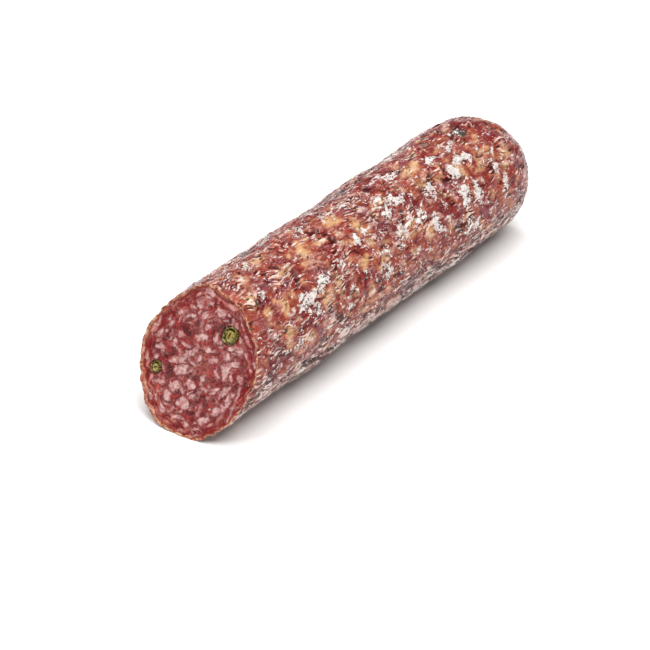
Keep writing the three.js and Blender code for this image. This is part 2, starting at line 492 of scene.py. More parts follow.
def log_offset():
    """Where the log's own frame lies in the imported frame, from the box of the CAD solid."""
    low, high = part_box("sausage")
    angle = FULL_TURN * np.arange(CAD_SEGMENTS) / CAD_SEGMENTS + DOWN
    _, rim_along = rim(angle)
    share = np.linspace(0, 1, CAD_RINGS + 1)[:, None]
    along = rim_along + (STRAIGHT_LENGTH / 2 - rim_along) * share
    across = skin_radius(angle, along) * np.cos(angle)
    lip_low = rim_along.min() + CUT_NORMAL[1] * LIP_HEIGHT
    middle_x = (across.min() + across.max()) / 2
    return np.array(((low.x + high.x) / 2 / MM - middle_x, low.y / MM - lip_low, AXIS_HEIGHT))


def make_piece(name, points, faces, material, fields):
    """A shaded mesh piece that rides on the log's body; fields are numbers kept for each point."""
    mesh = bpy.data.meshes.new(name)
    mesh.from_pydata(((points + OFFSET) * MM).tolist(), [], faces)
    for field, values in fields.items():
        layer = mesh.attributes.new(field, "FLOAT", "POINT")
        layer.data.foreach_set("value", values.astype(np.float32))
    mesh.polygons.foreach_set("use_smooth", [True] * len(mesh.polygons))
    mesh.materials.append(material)
    mesh.update()
    piece = bpy.data.objects.new(name, mesh)
    bpy.context.scene.collection.objects.link(piece)
    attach(piece, "root")
    return piece


def grid_faces(rows, columns):
    """Quads of a tube of rows, each a closed ring of columns."""
    row = np.arange(rows - 1)[:, None]
    column = np.arange(columns)[None, :]
    beside = (column + 1) % columns
    quads = np.stack((
        row * columns + column,
        (row + 1) * columns + column,
        (row + 1) * columns + beside,
        row * columns + beside,
    ), axis=-1)
    return quads.reshape(-1, 4).tolist()


def fan(middle, ring, outward):
    """Triangles from a middle point to a ring of points."""
    beside = ring[1:] + ring[:1]
    if outward:
        return [(middle, a, b) for a, b in zip(ring, beside)]
    return [(middle, b, a) for a, b in zip(ring, beside)]


def capped_tube(rows, columns):
    """Faces of a tube closed by a tip at each end; the two tips come after the points of its rows."""
    count = rows * columns
    first, last = list(range(columns)), list(range(count - columns, count))
    return grid_faces(rows, columns) + fan(count, first, outward=True) + fan(count + 1, last, outward=False)


def pixel_of(points):
    """Pixel of the photograph at which the camera sees points of the log's frame."""
    seen = points - CAMERA_PLACE
    depth = -seen @ BACK
    x = IMAGE_SIZE / 2 + FOCAL * (seen @ RIGHT) / depth
    y = IMAGE_SIZE / 2 - FOCAL * (seen @ UP) / depth
    return x, y


def skin_spot(x, y):
    """Angle in degrees and place along the log where the camera sees the skin at a pixel."""
    ray = RIGHT * (x - IMAGE_SIZE / 2) + UP * (IMAGE_SIZE / 2 - y) - BACK * FOCAL
    start = CAMERA_PLACE
    a = ray[0] ** 2 + ray[2] ** 2
    b = 2 * (start[0] * ray[0] + start[2] * ray[2])
    c = start[0] ** 2 + start[2] ** 2 - RADIUS ** 2
    reach = (-b - math.sqrt(max(b * b - 4 * a * c, 0))) / (2 * a)
    spot = start + reach * ray
    return math.degrees(math.atan2(spot[2], spot[0])), spot[1]


def patch_level(angle, along, spec):
    """One in the middle of an oval patch on the skin, zero at its outline and below outside it."""
    x, y, half_length, half_width, turn = spec
    degrees, middle = skin_spot(x, y)
    u = along - middle
    v = round_distance(angle, degrees)
    c, s = math.cos(math.radians(turn)), math.sin(math.radians(turn))
    return 1 - np.hypot((u * c + v * s) / half_length, (v * c - u * s) / half_width)


def nearest_two(points, seeds):
    """The number of the seed nearest to each point, its distance and the distance of the next one."""
    tree = kdtree.KDTree(len(seeds))
    for number, seed in enumerate(seeds):
        tree.insert(seed, number)
    tree.balance()
    pairs = [tree.find_n(point, 2) for point in points]
    distances = np.array([(first[2], second[2]) for first, second in pairs])
    return [first[1] for first, _ in pairs], distances[:, 0], distances[:, 1]


def cell_border(points, seeds):
    """Distance from each point to the border between the cells of its two nearest seeds."""
    _, near, further = nearest_two(points, seeds)
    return (further - near) / 2


def grain_fields(points, seeds, is_fat, tones):
    """Depth into fat (negative in lean), distance from the grain's border and the grain's tone."""
    _, to_lean, _ = nearest_two(points, seeds[~is_fat])
    _, to_fat, _ = nearest_two(points, seeds[is_fat])
    numbers, near, further = nearest_two(points, seeds)
    return (to_lean - to_fat) / 2, (further - near) / 2, tones[numbers]


def shell(random, count, lowest, highest):
    """Scattered points in a layer near the casing, between two heights over its mean radius."""
    angle = random.uniform(0, FULL_TURN, count)
    along = random.uniform(*SEED_ENDS, count)
    radius = RADIUS + random.uniform(lowest, highest, count)
    return around(radius, angle, along)


def skin_grains(random):
    """Centres of grains of meat just under the casing, which of them are fat, and their tones."""
    seeds = shell(random, SKIN_GRAINS, -2.5, 1.5)
    chance = SKIN_FAT_SHARE + 0.25 * noise(seeds, 10) - 0.10 * smooth(60, 85, seeds[:, 1])
    return seeds, random.uniform(0, 1, SKIN_GRAINS) < chance, random.uniform(0, 1, SKIN_GRAINS)


def skin_fields(points, angle, along):
    """What the casing's material and relief need to know at each point of the skin."""
    random = np.random.default_rng(SEED + 1)
    stretch = np.array((1, 0.8, 1))
    seeds, is_fat, tones = skin_grains(random)
    moved = warp(warp(points, 2.4, 0.5), 0.9, 0.2, 3.3) * stretch
    fat, border, tone = grain_fields(moved, seeds * stretch, is_fat, tones)
    wave = 0.45 * noise(points, 2.0, 4.1) + 0.3 * noise(points, 0.9, 1.9)
    patches = np.full(len(points), -2.0)
    for spec in SKIN_FAT:
        patches = np.maximum(patches, patch_level(angle, along, spec) + wave)
    hidden = smooth(0.1, 0.6, -np.cos(angle - math.radians(CAMERA_SIDE)))
    seeded = 1.9 * noise(points, 6, 6.1) + 0.5 * wave - 0.7
    patches = np.maximum(patches, hidden * seeded - 2 * (1 - hidden))
    fat = np.maximum(fat, 1.1 * patches)
    towards_mould = np.cos(angle - math.radians(MOULD_SIDE))
    mould = -0.58 + 0.24 * towards_mould + 0.75 * noise(points, 9, 2.2) + 0.40 * noise(points, 4, 5.1)
    mould += 0.22 * smooth(-70, 40, along) - 0.3 * smooth(72, 90, along) + 0.34 * hidden
    level = np.zeros(len(points))
    for spec in SKIN_MOULD:
        level = np.maximum(level, spec[5] * np.clip(patch_level(angle, along, spec[:5]) + wave, 0, 1) ** 0.5)
    mould = np.maximum(mould, level - 0.15)
    low_side = 1 - smooth(*np.radians(LOW_BLOOM), from_bottom(angle))
    # Grey-lilac bloom low down and, weaker, on the far side: partly mould, partly painted sheen where the
    # camera sees the skin at a slant
    bloom_and_sheen = np.clip(low_side + 0.35 * noise(points, 6, 9.2), 0, 1)
    bloom_and_sheen = np.maximum(bloom_and_sheen, 0.24 * far_side(angle))
    dark = sum(bump(angle, along, (spec[0], spec[1], 1, spec[3], spec[4])) for spec in CORN_BUMPS)
    degrees, middle = skin_spot(*SPECK_PIXEL)
    speck = bump(angle, along, (degrees, middle, 1, 0.7, 1.0))
    to_cut = along - cut_along(points[:, 0], points[:, 2])
    return {
        "fold": folds(points, angle),
        "fat": fat,
        "patch": patches,
        "border": border,
        "tone": tone,
        "mould": mould,
        "bloom_and_sheen": bloom_and_sheen,
        "corn": dark,
        "speck": speck,
        "to_cut": to_cut,
    }


def folds(points, angle):
    """Crumpled folds of the dried casing: 0 in thin creases, 1 along ridges and a half between them."""
    random = np.random.default_rng(SEED + 4)
    stretch = np.array((1, FOLD_STRETCH, 1))
    moved = warp(warp(points, 8, 1.9, 0.7), 2.4, 0.4, 4.9) * stretch
    crease, ridge = [
        1 - smooth(0.04, 0.26, cell_border(moved, shell(random, count, -0.3, 0.3) * stretch))
        for count in (CREASE_CELLS, RIDGE_CELLS)
    ]
    crease *= smooth(-0.1, 0.4, noise(points, 3.4, 12.3))
    ridge *= smooth(-0.2, 0.4, noise(points, 3.1, 8.1))
    crumpled = 0.5 + 0.5 * ridge * (1 - crease) - 0.5 * crease
    drawn = warp(points, 7.0, 1.6, 2.7) * np.array((1, 0.22, 1))
    pleated = np.clip(0.5 + 1.2 * noise(drawn, 1.9, 5.3) + 0.8 * noise(drawn, 1.1, 9.1), 0, 1)
    low_side = 1 - smooth(*np.radians(LOW_PLEATS), from_bottom(angle) + 0.25 * noise(points, 5, 1.3))
    share = np.maximum(low_side, 0.8 * far_side(angle))
    return crumpled * (1 - share) + pleated * share


def far_side(angle):
    """One on the upper side that the camera sees at a slant and beyond it."""
    reach = math.radians(FAR_REACH)
    return 1 - smooth(0.5 * reach, reach, np.abs(angle - math.radians(FAR_SIDE)))


def rim_wave(angle, to_cut):
    """How far the dried edge of the casing waves in and out near the cut."""
    wave = 0.16 * np.sin(13 * angle + 0.7) + 0.14 * np.sin(22 * angle + 2.1) + 0.10 * np.sin(37 * angle)
    dents = sum(bump(angle, to_cut, (degrees, 0, height, reach, 3)) for degrees, height, reach in RIM_DENTS)
    return wave * np.exp(-np.maximum(to_cut, 0) / 2.2) + dents


def skin_relief(points, angle, fields):
    """Height of the fine relief: grains of mince, folds of the casing and its mould."""
    free = smooth(FLAT_HALF_ANGLE, PRESSED_TO, from_bottom(angle))
    grain = 0.30 * smooth(0.0, 0.8, fields["border"]) + 0.14 * (fields["tone"] - 0.5)
    lump = 0.16 * noise(points, 3.4, 1.5)
    fold = 0.55 * (fields["fold"] - 0.5)
    crust = 0.08 * smooth(0.1, 0.5, fields["mould"] + 0.5 * noise(points, 1.2, 8.8))
    speck = -0.5 * fields["speck"]
    corn = 1 - 0.8 * np.clip(fields["corn"], 0, 1)
    edge = rim_wave(angle, fields["to_cut"])
    return free * (corn * (grain + lump - 0.15 + fold + crust) + edge) + speck


def casing_rings():
    """Angle, along and radius of each point of the casing's outside, from the cut edge to the tip."""
    angle = FULL_TURN * np.arange(CASING_COLUMNS) / CASING_COLUMNS + DOWN
    _, rim_along = rim(angle)
    share = np.linspace(0, 1, CASING_ROWS + 1)[:, None]
    side_along = rim_along + (STRAIGHT_LENGTH / 2 - rim_along) * share
    turn = np.linspace(0, math.pi / 2, CASING_END_ROWS + 1)[1:-1, None]
    narrowing = np.cos(turn)
    depth = END_DEPTH * np.sqrt(1 - narrowing ** (2 / END_FULLNESS))
    end_along = np.broadcast_to(STRAIGHT_LENGTH / 2 + depth, (len(turn), CASING_COLUMNS))
    along = np.vstack((side_along, end_along))
    narrowing = np.vstack((np.ones_like(side_along), np.broadcast_to(narrowing, end_along.shape)))
    return np.broadcast_to(angle, along.shape), along, narrowing


def end_shift(angle, radius):
    """How far pleats and pucker move the closed end along the log, as in the CAD part."""
    gathered = (1 - smooth(PLEAT_INNER, PLEAT_OUTER, radius)) * smooth(0, PUCKER_RADIUS, radius)
    pleat = PLEAT_DEPTH * gathered * (np.abs(np.sin(PLEAT_COUNT * angle / 2)) - 0.5)
    return pleat - PUCKER_DEPTH * np.exp(-((radius / PUCKER_RADIUS) ** 2))


def lip_height(angle):
    """How far the casing's edge stands over the plane of the cut."""
    ragged = 0.12 * np.sin(7 * angle + 1) + 0.1 * np.sin(16 * angle) + 0.07 * np.sin(29 * angle + 2)
    return LIP_HEIGHT + ragged


def lip_width(angle):
    """Thickness of the dried edge, widest at the lower left of the cut."""
    left = 0.55 * np.exp(-((round_distance(angle, 185) / 14) ** 2))
    lower_left = 0.75 * np.exp(-((round_distance(angle, 222) / 9) ** 2))
    ragged = 0.15 * np.sin(9 * angle) + 0.13 * np.sin(23 * angle + 1) + 0.12 * np.sin(41 * angle + 2)
    return LIP_THICKNESS + left + lower_left + ragged


def casing_outside():
    """The casing's outside: points by rows and columns, the columns' angles and the points' fields."""
    angle, along, narrowing = casing_rings()
    flat_angle, flat_along, narrow = angle.ravel(), along.ravel(), narrowing.ravel()
    radius = skin_radius(flat_angle, flat_along)
    base = place(radius * narrow * np.cos(flat_angle), flat_along, radius * narrow * np.sin(flat_angle))
    fields = skin_fields(base, flat_angle, flat_along)
    relief = skin_relief(base, flat_angle, fields)
    raised = (radius + relief) * narrow
    shift = np.where(narrow < 1, end_shift(flat_angle, radius * narrow) + relief * (1 - narrow), 0)
    outer = place(raised * np.cos(flat_angle), flat_along + shift, raised * np.sin(flat_angle))
    return outer.reshape(*angle.shape, 3), angle[0], fields


def casing_lip(edge, angle):
    """Rings that turn the casing's cut edge inward over the meat, from the inside out."""
    width, height = lip_width(angle), lip_height(angle)
    inward = np.stack((-np.cos(angle), np.zeros_like(angle), -np.sin(angle)), axis=1)
    inward[:, 1] = inward[:, 0] * math.tan(CUT_TURN) + inward[:, 2] * math.tan(CUT_LEAN)
    rings = []
    for width_share, height_share in LIP_PROFILE:
        ring = edge + inward * (width * width_share)[:, None] + CUT_NORMAL * (height * height_share)[:, None]
        ring[:, 2] = np.maximum(ring[:, 2], -AXIS_HEIGHT)
        rings.append(ring)
    return rings


def casing_inside(angle):
    """Rings of the casing's hidden inner surface, from the cut to the closed end."""
    _, rim_along = rim(angle)
    rings = []
    for share in np.linspace(0, 1, INNER_ROWS):
        along = (rim_along + 3) * (1 - share) + STRAIGHT_LENGTH / 2 * share
        radius = skin_radius(angle, along) - CASING_THICKNESS
        rings.append((radius, along))
    for turn in np.linspace(0, math.pi / 2, INNER_END_ROWS + 1)[1:-1]:
        narrow = math.cos(turn)
        along = STRAIGHT_LENGTH / 2 + (END_DEPTH - 1) * math.sqrt(1 - narrow ** (2 / END_FULLNESS))
        radius = (skin_radius(angle, along + 0 * angle) - CASING_THICKNESS) * narrow
        rings.append((radius, along - 1.5 - 2 * np.exp(-((radius / 4) ** 2))))
    placed = []
    for radius, along in rings:
        ring = around(radius, angle, along)
        ring[:, 2] = np.maximum(ring[:, 2], -AXIS_HEIGHT + CASING_THICKNESS)
        placed.append(ring)
    return placed


def make_casing(material, outer, angle, fields):
    """The casing: a closed thin shell with its cut edge as a lip round the meat."""
    inside = casing_inside(angle)[::-1]
    lip = casing_lip(outer[0], angle)
    rings = inside + lip + list(outer)
    tips = np.array((
        (0, STRAIGHT_LENGTH / 2 + END_DEPTH - 3.8, 0),
        (0, STRAIGHT_LENGTH / 2 + END_DEPTH - PUCKER_DEPTH, 0),
    ))
    points = np.concatenate(rings + [tips])
    hidden, turned = len(inside) * CASING_COLUMNS, len(lip)
    full = {}
    for field, values in fields.items():
        lip_values = np.tile(values[:CASING_COLUMNS], turned)
        full[field] = np.concatenate((np.zeros(hidden), lip_values, values, (0, values[-1])))
    full["lip"] = np.zeros(len(points))
    paler = 0.6 + 0.4 * smooth(-0.2, 0.5, -np.cos(angle) + 0.4 * np.sin(11 * angle))
    full["lip"][hidden:hidden + turned * CASING_COLUMNS] = np.tile(paler, turned)
    return make_piece("casing", points, capped_tube(len(rings), CASING_COLUMNS), material, full)


def disc_map(steps):
    """An even grid over a disc: shares of the radius and angles for each point of a square grid."""
    line = np.linspace(-1, 1, steps + 1)
    u, v = np.meshgrid(line, line, indexing="ij")
    wide = np.abs(u) > np.abs(v)
    safe_u = np.where(u == 0, 1, u)
    safe_v = np.where(v == 0, 1, v)
    share = np.where(wide, u, v)
    angle = np.where(wide, math.pi / 4 * v / safe_u, math.pi / 2 - math.pi / 4 * u / safe_v)
    angle = np.where((u == 0) & (v == 0), 0, angle)
    x, y = share * np.cos(angle), share * np.sin(angle)
    return np.hypot(x, y), np.arctan2(y, x)


def square_faces(steps):
    """Quads of a square grid of points."""
    side = steps + 1
    i, j = np.meshgrid(np.arange(steps), np.arange(steps), indexing="ij")
    corner = (i * side + j).ravel()
    return np.stack((corner, corner + side, corner + side + 1, corner + 1), axis=1).tolist()


def boundary_of(steps):
    """Indices of the square grid's outline, counter-clockwise seen from the front of the cut."""
    side = steps + 1
    bottom = [i * side for i in range(steps)]
    right = [steps * side + j for j in range(steps)]
    top = [i * side + steps for i in range(steps, 0, -1)]
    left = [j for j in range(steps, 0, -1)]
    return bottom + right + top + left


def round_rim(angle, out):
    """Points on a tube, with angles round the cut kept and ways out from its middle laid along the tube."""
    return np.stack((FACE_RING_RADIUS * np.cos(angle), FACE_RING_RADIUS * np.sin(angle), out), axis=1)


def face_grains(random, points, share, angle):
    """Grains of the cut face: round ones in its middle and ones pressed flat along its rim."""
    flat = np.stack((points[:, 0], np.zeros(len(points)), points[:, 2] / math.cos(CUT_LEAN)), axis=1)
    spread = np.sqrt(random.uniform(0, 1, FACE_MIDDLE_GRAINS)) * RADIUS * 0.9
    turn = random.uniform(0, FULL_TURN, FACE_MIDDLE_GRAINS)
    depth = random.uniform(-0.7, 0.7, FACE_MIDDLE_GRAINS)
    middle_seeds = around(spread, turn, depth)
    turn = random.uniform(0, FULL_TURN, FACE_RING_GRAINS)
    out = random.uniform(0.5, 1.03, FACE_RING_GRAINS) * RADIUS * FACE_RING_SQUEEZE
    ring_seeds = round_rim(turn, out)
    ring_spots = round_rim(angle, share * RADIUS * FACE_RING_SQUEEZE)
    results = []
    for spots, seeds in ((flat, middle_seeds), (ring_spots, ring_seeds)):
        is_fat = random.uniform(0, 1, len(seeds)) < FACE_FAT_SHARE
        tones = random.uniform(0, 1, len(seeds))
        moved = warp(warp(spots, 2.8, 1.1), 0.9, 0.45, 2.1)
        results.append(grain_fields(moved, seeds, is_fat, tones))
    at_rim = share + 0.06 * noise(points, 4, 5.9) > 0.66
    return [np.where(at_rim, outer, inner) for inner, outer in zip(*results)]


def face_fields(points, share, angle):
    """Masks of the cut face: grains of fat, their borders and tones, and depth under the rim."""
    random = np.random.default_rng(SEED + 2)
    fat, border, tone = face_grains(random, points, share, angle)
    x, y = pixel_of(warp(warp(points, 2.6, 1.0, 6.6), 0.9, 0.45, 4.7))
    chosen = np.full(len(points), -9.0)
    for middle_x, middle_y, half_length, half_width, tilt in FACE_GRAINS:
        c, s = math.cos(math.radians(tilt)), math.sin(math.radians(tilt))
        u = (x - middle_x) * c - (y - middle_y) * s
        v = (x - middle_x) * s + (y - middle_y) * c
        level = 1.15 - np.hypot(u / half_length, v / half_width)
        chosen = np.maximum(chosen, level * half_width * 0.35)
    dark = sum(
        np.exp(-((x - middle_x) ** 2 + (y - middle_y) ** 2) / reach ** 2)
        for middle_x, middle_y, reach in FACE_DARKS
    )
    near = smooth(-0.7, -0.15, chosen)
    fat = np.maximum(np.minimum(fat, 0.6 - 1.1 * near), chosen)
    border = np.where(chosen > -0.3, np.abs(chosen), border)
    radius = share * RADIUS
    return {
        "fat": fat,
        "border": border,
        "tone": tone,
        "dark": np.clip(dark, 0, 1),
        "layer": rim_layers(points, share, angle),
        "depth": (1 - share) * RADIUS,
        "salmon": 0.5 * noise(points, 6, 3.7) + np.exp(-((radius / 8) ** 2)),
    }


def rim_layers(points, share, angle):
    """Thin layers that the meat shows round the rim of the cut, from -1 in the dark ones to 1."""
    out = share * RADIUS + 0.9 * noise(points, 3.2, 8.4)
    spots = round_rim(angle, out * LAYER_SQUEEZE)
    return noise(spots, 2.8, 3.1) + 0.5 * noise(spots, 1.3, 7.7)


def face_relief(points, share, fields):
    """Height of the meat over the plane of the cut."""
    hollow = -FACE_HOLLOW * (1 - share ** 4)
    grain = 0.12 * smooth(-0.2, 0.4, fields["fat"]) + 0.10 * smooth(0, 0.4, fields["border"])
    pits = -0.16 * smooth(0.25, 0.7, noise(points, 1.3, 2.9))
    dents = -0.14 * smooth(0.2, 0.6, noise(points, 3.2, 5.5))
    shrunk = -0.35 * np.exp(-(((fields["depth"] - 1.6) / 1.0) ** 2))
    layers = 0.14 * fields["layer"] * smooth(6.0, 2.5, fields["depth"])
    return hollow + grain + pits + dents + shrunk + layers + 0.06 * noise(points, 0.7, 1.1)


def corn_hollow(points):
    """How deep the sockets of the halved peppercorns are at each point of the cut face."""
    depth = np.zeros(len(points))
    for across, up, radius in FACE_CORNS:
        middle = np.array((across, cut_along(across, up), up))
        distance = np.linalg.norm(points - middle, axis=1)
        depth = np.maximum(depth, 1.0 * smooth(radius + 0.45, radius - 0.35, distance))
    return depth


def meat_side(angle, start):
    """Rings of the meat's side from the cut to the closed end, just inside the casing."""
    straight_rows = MEAT_ROWS - MEAT_END_ROWS
    rings = []
    for row in range(1, MEAT_ROWS + 1):
        turn = max(0.0, (row - straight_rows) / (MEAT_END_ROWS + 1)) * math.pi / 2
        narrow = math.cos(turn)
        along = start + (STRAIGHT_LENGTH / 2 - start) * min(1.0, row / straight_rows)
        along = along + (END_DEPTH - 3) * math.sqrt(1 - narrow ** (2 / END_FULLNESS))
        inset = MEAT_GAP + 0.5 * min(1.0, row / 2)
        ring = around((skin_radius(angle, along) - CASING_THICKNESS - inset) * narrow, angle, along)
        ring[:, 2] = np.maximum(ring[:, 2], -AXIS_HEIGHT + CASING_THICKNESS + MEAT_GAP)
        rings.append(ring)
    return rings


def make_meat(material):
    """The meat: a closed body with a finely grained cut face, just inside the casing."""
    share, angle = disc_map(FACE_STEPS)
    share, angle = share.ravel(), angle.ravel()
    edge_radius = rim(angle)[0] - lip_width(angle) + MEAT_UNDER_LIP
    across = share * edge_radius * np.cos(angle)
    up = np.maximum(share * edge_radius * np.sin(angle), -AXIS_HEIGHT + 0.25)
    plane = np.stack((across, cut_along(across, up), up), axis=1)
    fields = face_fields(plane, share, angle)
    height = face_relief(plane, share, fields) - corn_hollow(plane)
    face = plane + CUT_NORMAL * height[:, None]
    border = boundary_of(FACE_STEPS)
    rings = meat_side(angle[border], plane[border, 1])
    tip = (0, STRAIGHT_LENGTH / 2 + END_DEPTH - 4, 0)
    points = np.vstack([face] + rings + [tip])
    loops = [border] + np.arange(len(face), len(points) - 1).reshape(MEAT_ROWS, -1).tolist()
    faces = square_faces(FACE_STEPS)
    for near, far in zip(loops, loops[1:]):
        faces += zip(near, far, far[1:] + far[:1], near[1:] + near[:1])
    faces += fan(len(points) - 1, loops[-1], outward=False)
    hidden = np.zeros(len(points) - len(face))
    full = {field: np.concatenate((values, hidden)) for field, values in fields.items()}
    return make_piece("meat", points, faces, material, full)


def corn_front(share, angle, slit_turn):
    """A cut ring's height, in radii, and its part: 1 in the seed, 0 in the hull and less in gaps."""
    x, y = share * np.cos(angle), share * np.sin(angle)
    open_way = np.cos(angle - slit_turn - 0.9)
    hull = (0.22 + 0.12 * np.sin(2 * angle + 1)) * np.exp(-(((share - 0.88) / 0.10) ** 2))
    seed_share = 0.68 + 0.05 * np.sin(3 * angle + slit_turn) - 0.09 * open_way
    gap_depth = 0.42 * (0.1 + 0.9 * smooth(-0.3, 0.8, open_way))
    gap = -gap_depth * np.exp(-(((share - seed_share) / 0.05) ** 2))
    seed = 0.30 * np.sqrt(np.clip(1 - (share / seed_share) ** 2, 0, 1))
    along_slit = x * math.cos(slit_turn) + y * math.sin(slit_turn)
    off_slit = y * math.cos(slit_turn) - x * math.sin(slit_turn)
    slit = -0.40 * np.exp(-((off_slit / 0.07) ** 2) - ((along_slit / 0.34) ** 4))
    edge = -0.5 * smooth(0.93, 1.0, share)
    uneven = 0.09 * np.sin(5 * angle + 7 * share) + 0.08 * np.sin(3 * angle - 11 * share)
    part = np.where(share < 0.66, 1.0, 0.0) - 2 * np.clip(-(gap + slit) * 3, 0, 1)
    return hull + gap + seed + slit + edge + uneven * share, part


def make_corn(name, across, up, radius, slit_turn, material):
    """A halved peppercorn: a hull, a gap and a seed with its slit, over a round back."""
    angle = FULL_TURN * np.arange(CORN_COLUMNS) / CORN_COLUMNS
    oval = 1 - 0.07 * np.cos(2 * angle) + 0.03 * np.sin(5 * angle + slit_turn)
    shares = [k / CORN_RINGS for k in range(1, CORN_RINGS + 1)]
    heights, parts = zip(*(corn_front(share, angle, slit_turn) for share in shares))
    heights, parts = list(heights), list(parts)
    for turn in np.linspace(0, math.pi / 2, CORN_BACK_RINGS + 2)[1:-1]:
        shares.append(math.cos(turn))
        heights.append(np.full(CORN_COLUMNS, -0.5 - 0.5 * math.sin(turn)))
        parts.append(np.zeros(CORN_COLUMNS))
    rings = [
        np.stack((share * np.cos(angle) * oval, share * np.sin(angle) * oval, height), axis=1)
        for share, height in zip(shares, heights)
    ]
    tips = [(0, 0, 0), (0, 0, -1)]
    part = np.concatenate(parts + [(-1, 0)])
    turn = np.array(Vector(CUT_NORMAL).to_track_quat("Z", "Y").to_matrix())
    middle = np.array((across, cut_along(across, up), up)) - CUT_NORMAL * CORN_SINK
    points = radius * np.vstack(rings + tips) @ turn.T + middle
    faces = capped_tube(len(rings), CORN_COLUMNS)
    return make_piece(name, points, faces, material, {"part": part})


def make_flakes(material, outer, fields):
    """Flakes of dry mould scattered over the skin where it is mouldy, each a small closed lump."""
    random = np.random.default_rng(SEED + 3)
    round_way = np.roll(outer, -1, axis=1) - np.roll(outer, 1, axis=1)
    onward = np.gradient(outer, axis=0)
    normal = np.cross(onward, round_way)
    area = np.linalg.norm(normal, axis=2)
    normal = (normal / np.maximum(area, 1e-9)[..., None]).reshape(-1, 3)
    spots = outer.reshape(-1, 3)
    ragged = fields["mould"] + 0.9 * noise(spots, 1.3, 8.8) + 0.3 * smooth(0.0, 0.5, fields["border"])
    chance = area.ravel() * smooth(0.3, 1.3, ragged) * (spots[:, 2] > -0.8 * AXIS_HEIGHT)
    chance *= fields["to_cut"] > 1.5
    chosen = random.choice(len(spots), FLAKES, p=chance / chance.sum())
    normal, middle = normal[chosen], spots[chosen]
    side = np.cross(normal, (0, 1, 0.01))
    side /= np.linalg.norm(side, axis=1)[:, None]
    other = np.cross(normal, side)
    shift = random.uniform(-0.3, 0.3, (2, FLAKES, 1))
    middle = middle + shift[0] * side + shift[1] * other
    spin = random.uniform(0, FULL_TURN, FLAKES)[:, None]
    long_way = np.cos(spin) * side + np.sin(spin) * other
    wide_way = np.cos(spin) * other - np.sin(spin) * side
    shortest, longest = FLAKE_LENGTH
    length = shortest + (longest - shortest) * random.uniform(0, 1, (FLAKES, 1)) ** 3
    width = length * random.uniform(0.3, 0.7, (FLAKES, 1))
    outline = []
    for k in range(FLAKE_CORNERS):
        turn = FULL_TURN * k / FLAKE_CORNERS
        spread = random.uniform(0.6, 1.25, (FLAKES, 1))
        lifted = normal * random.uniform(-0.03, 0.07, (FLAKES, 1))
        corner = length * math.cos(turn) * long_way + width * math.sin(turn) * wide_way
        outline.append(middle + spread * corner + lifted)
    top = middle + normal * random.uniform(*FLAKE_TOP, (FLAKES, 1))
    root = middle - normal * FLAKE_ROOT
    points = np.stack(outline + [top, root], axis=1).reshape(-1, 3)
    points[:, 2] = np.maximum(points[:, 2], -AXIS_HEIGHT)
    stride = FLAKE_CORNERS + 2
    faces = []
    for start in range(0, len(points), stride):
        for k in range(FLAKE_CORNERS):
            a, b = start + k, start + (k + 1) % FLAKE_CORNERS
            faces.append((a, b, start + FLAKE_CORNERS))
            faces.append((b, a, start + FLAKE_CORNERS + 1))
    shade = np.repeat(random.uniform(0, 1, FLAKES), stride)
    return make_piece("mould_flakes", points, faces, material, {"shade": shade})


def paint(name):
    """The linear colour of a surface that looks like the palette's colour in the studio's full light."""
    shares = [value / 255 for value in PALETTE[name]]
    return tuple((v / 12.92 if v <= 0.04045 else ((v + 0.055) / 1.055) ** 2.4) / FULL_LIGHT for v in shares)


